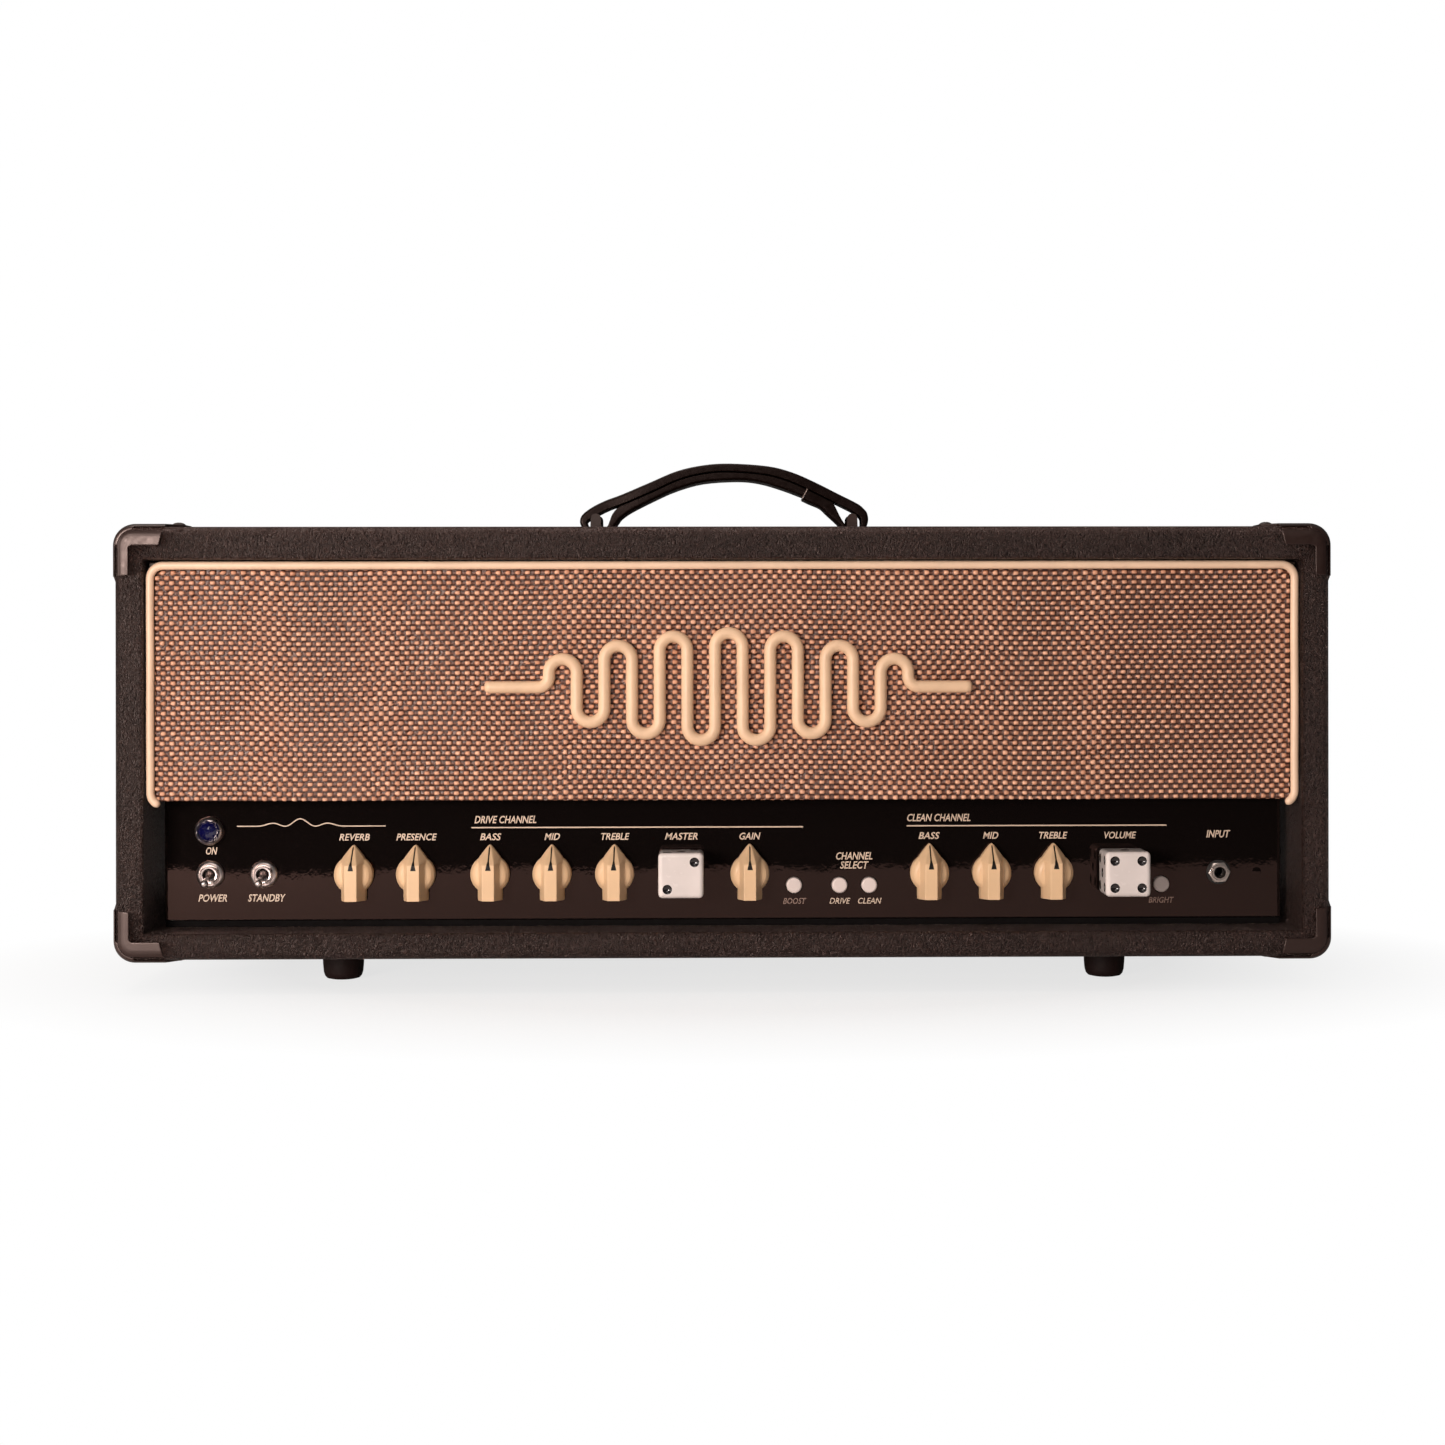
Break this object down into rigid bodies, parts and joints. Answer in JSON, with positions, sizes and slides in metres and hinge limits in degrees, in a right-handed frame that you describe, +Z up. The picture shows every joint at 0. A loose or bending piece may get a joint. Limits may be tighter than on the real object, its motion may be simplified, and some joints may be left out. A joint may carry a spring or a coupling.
{
  "type": "guitar amplifier head",
  "caption": "Valve guitar amplifier head: a vinyl-covered sleeve with a cloth grille, recessed control panel, pointer and dice knobs, strap handle and inner chassis.",
  "frame": {"origin": "on the floor, under the middle of the cabinet", "axes": "+X to the right seen from the front, +Y to the back, +Z up"},
  "size_m": [0.6872, 0.2524, 0.305],
  "materials": {
    "vinyl_covering": "dark brown grained vinyl glued over plywood, satin",
    "corner_plastic": "dark brown moulded plastic, satin",
    "foot_rubber": "matte black rubber",
    "handle_leather": "black-brown leatherette, smooth and slightly glossy",
    "black_steel": "black powder coat",
    "grille_fabric": "coarse woven salmon and dark brown cloth",
    "baffle_wood": "stained plywood",
    "cream_piping": "cream vinyl piping",
    "emblem_plastic": "cream moulded plastic, satin",
    "panel_gloss": "high-gloss black with cream printed legends",
    "chrome": "polished",
    "jewel_glass": "faceted dark blue jewel",
    "jack_nickel": "nickel plate",
    "knob_plastic": "cream moulded plastic, satin gloss",
    "die_plastic": "white with black pips, polished",
    "button_plastic": "light grey translucent plastic",
    "circuit_board": "green fibreglass board with metal-cased controls",
    "chassis_steel": "zinc-plated sheet steel",
    "black_plastic": "black moulded plastic",
    "transformer_black": "black enamel",
    "tube_glass": "clear glass",
    "can_aluminium": "spun aluminium"
  },
  "bodies": {
    "cabinet": {"back_panel": "vinyl_covering", "cabinet_sleeve": "vinyl_covering", "chassis_tray": "chassis_steel", "control_panel": "panel_gloss", "corner_back_bottom_left": "corner_plastic", "corner_back_bottom_right": "corner_plastic", "corner_back_top_left": "corner_plastic", "corner_back_top_right": "corner_plastic", "corner_front_bottom_left": "corner_plastic", "corner_front_bottom_right": "corner_plastic", "corner_front_top_left": "corner_plastic", "corner_front_top_right": "corner_plastic", "foot_back_left": "foot_rubber", "foot_back_right": "foot_rubber", "foot_front_left": "foot_rubber", "foot_front_right": "foot_rubber", "fuse_holder": "black_plastic", "grille_baffle": "baffle_wood", "grille_cloth": "grille_fabric", "grille_emblem": "emblem_plastic", "grille_piping": "cream_piping", "handle_bracket_left": "black_steel", "handle_bracket_right": "black_steel", "input_jack": "jack_nickel", "lamp_bezel": "chrome", "lamp_jewel": "jewel_glass", "mains_inlet": "black_plastic", "mains_transformer": "transformer_black", "output_transformer": "transformer_black", "pot_board": "circuit_board", "power_switch_bushing": "chrome", "power_tube_left": "tube_glass", "power_tube_right": "tube_glass", "power_tube_socket_left": "black_plastic", "power_tube_socket_right": "black_plastic", "preamp_tube_can_1": "can_aluminium", "preamp_tube_can_2": "can_aluminium", "preamp_tube_can_3": "can_aluminium", "rear_jack_strip": "black_plastic", "rear_vent_grille": "black_steel", "reverb_tank": "chassis_steel", "standby_switch_bushing": "chrome"},
    "reverb_knob": {"reverb_knob": "knob_plastic"},
    "presence_knob": {"presence_knob": "knob_plastic"},
    "drive_bass_knob": {"drive_bass_knob": "knob_plastic"},
    "drive_mid_knob": {"drive_mid_knob": "knob_plastic"},
    "drive_treble_knob": {"drive_treble_knob": "knob_plastic"},
    "gain_knob": {"gain_knob": "knob_plastic"},
    "clean_bass_knob": {"clean_bass_knob": "knob_plastic"},
    "clean_mid_knob": {"clean_mid_knob": "knob_plastic"},
    "clean_treble_knob": {"clean_treble_knob": "knob_plastic"},
    "master_knob": {"master_knob": "die_plastic"},
    "volume_knob": {"volume_knob": "die_plastic"},
    "boost_button": {"boost_button": "button_plastic"},
    "drive_select_button": {"drive_select_button": "button_plastic"},
    "clean_select_button": {"clean_select_button": "button_plastic"},
    "bright_button": {"bright_button": "button_plastic"},
    "power_switch_lever": {"power_switch_lever": "chrome"},
    "standby_switch_lever": {"standby_switch_lever": "chrome"},
    "handle": {"handle_strap": "handle_leather"}
  },
  "joints": [
    {"name": "reverb_turn", "type": "hinge", "parent": "cabinet", "child": "reverb_knob", "pos_m": [-0.2111, -0.095, 0.0642], "axis": [0, 1, 0], "range_deg": [-150, 150]},
    {"name": "presence_turn", "type": "hinge", "parent": "cabinet", "child": "presence_knob", "pos_m": [-0.1759, -0.095, 0.0642], "axis": [0, 1, 0], "range_deg": [-150, 150]},
    {"name": "drive_bass_turn", "type": "hinge", "parent": "cabinet", "child": "drive_bass_knob", "pos_m": [-0.1337, -0.095, 0.0642], "axis": [0, 1, 0], "range_deg": [-150, 150]},
    {"name": "drive_mid_turn", "type": "hinge", "parent": "cabinet", "child": "drive_mid_knob", "pos_m": [-0.0984, -0.095, 0.0642], "axis": [0, 1, 0], "range_deg": [-150, 150]},
    {"name": "drive_treble_turn", "type": "hinge", "parent": "cabinet", "child": "drive_treble_knob", "pos_m": [-0.0628, -0.095, 0.0642], "axis": [0, 1, 0], "range_deg": [-150, 150]},
    {"name": "gain_turn", "type": "hinge", "parent": "cabinet", "child": "gain_knob", "pos_m": [0.0143, -0.095, 0.0642], "axis": [0, 1, 0], "range_deg": [-150, 150]},
    {"name": "clean_bass_turn", "type": "hinge", "parent": "cabinet", "child": "clean_bass_knob", "pos_m": [0.117, -0.095, 0.0642], "axis": [0, 1, 0], "range_deg": [-150, 150]},
    {"name": "clean_mid_turn", "type": "hinge", "parent": "cabinet", "child": "clean_mid_knob", "pos_m": [0.1525, -0.095, 0.0642], "axis": [0, 1, 0], "range_deg": [-150, 150]},
    {"name": "clean_treble_turn", "type": "hinge", "parent": "cabinet", "child": "clean_treble_knob", "pos_m": [0.188, -0.095, 0.0642], "axis": [0, 1, 0], "range_deg": [-150, 150]},
    {"name": "master_turn", "type": "hinge", "parent": "cabinet", "child": "master_knob", "pos_m": [-0.0246, -0.095, 0.0642], "axis": [0, 1, 0], "range_deg": [-150, 150]},
    {"name": "volume_turn", "type": "hinge", "parent": "cabinet", "child": "volume_knob", "pos_m": [0.2265, -0.095, 0.0642], "axis": [0, 1, 0], "range_deg": [-150, 150]},
    {"name": "boost_press", "type": "slide", "parent": "cabinet", "child": "boost_button", "axis": [0, 1, 0], "range_m": [0, 0.0025], "stiffness_N_per_m": 400, "springref_m": -0.003},
    {"name": "drive_select_press", "type": "slide", "parent": "cabinet", "child": "drive_select_button", "axis": [0, 1, 0], "range_m": [0, 0.0025], "stiffness_N_per_m": 400, "springref_m": -0.003},
    {"name": "clean_select_press", "type": "slide", "parent": "cabinet", "child": "clean_select_button", "axis": [0, 1, 0], "range_m": [0, 0.0025], "stiffness_N_per_m": 400, "springref_m": -0.003},
    {"name": "bright_press", "type": "slide", "parent": "cabinet", "child": "bright_button", "axis": [0, 1, 0], "range_m": [0, 0.0025], "stiffness_N_per_m": 400, "springref_m": -0.003},
    {"name": "power_flip", "type": "hinge", "parent": "cabinet", "child": "power_switch_lever", "pos_m": [-0.2929, -0.0985, 0.0642], "axis": [-1, 0, 0], "range_deg": [0, 32]},
    {"name": "standby_flip", "type": "hinge", "parent": "cabinet", "child": "standby_switch_lever", "pos_m": [-0.2625, -0.0985, 0.0642], "axis": [-1, 0, 0], "range_deg": [0, 32]},
    {"name": "handle_lift", "type": "slide", "parent": "cabinet", "child": "handle", "axis": [0, 0, 1], "range_m": [0, 0.0025]}
  ]
}
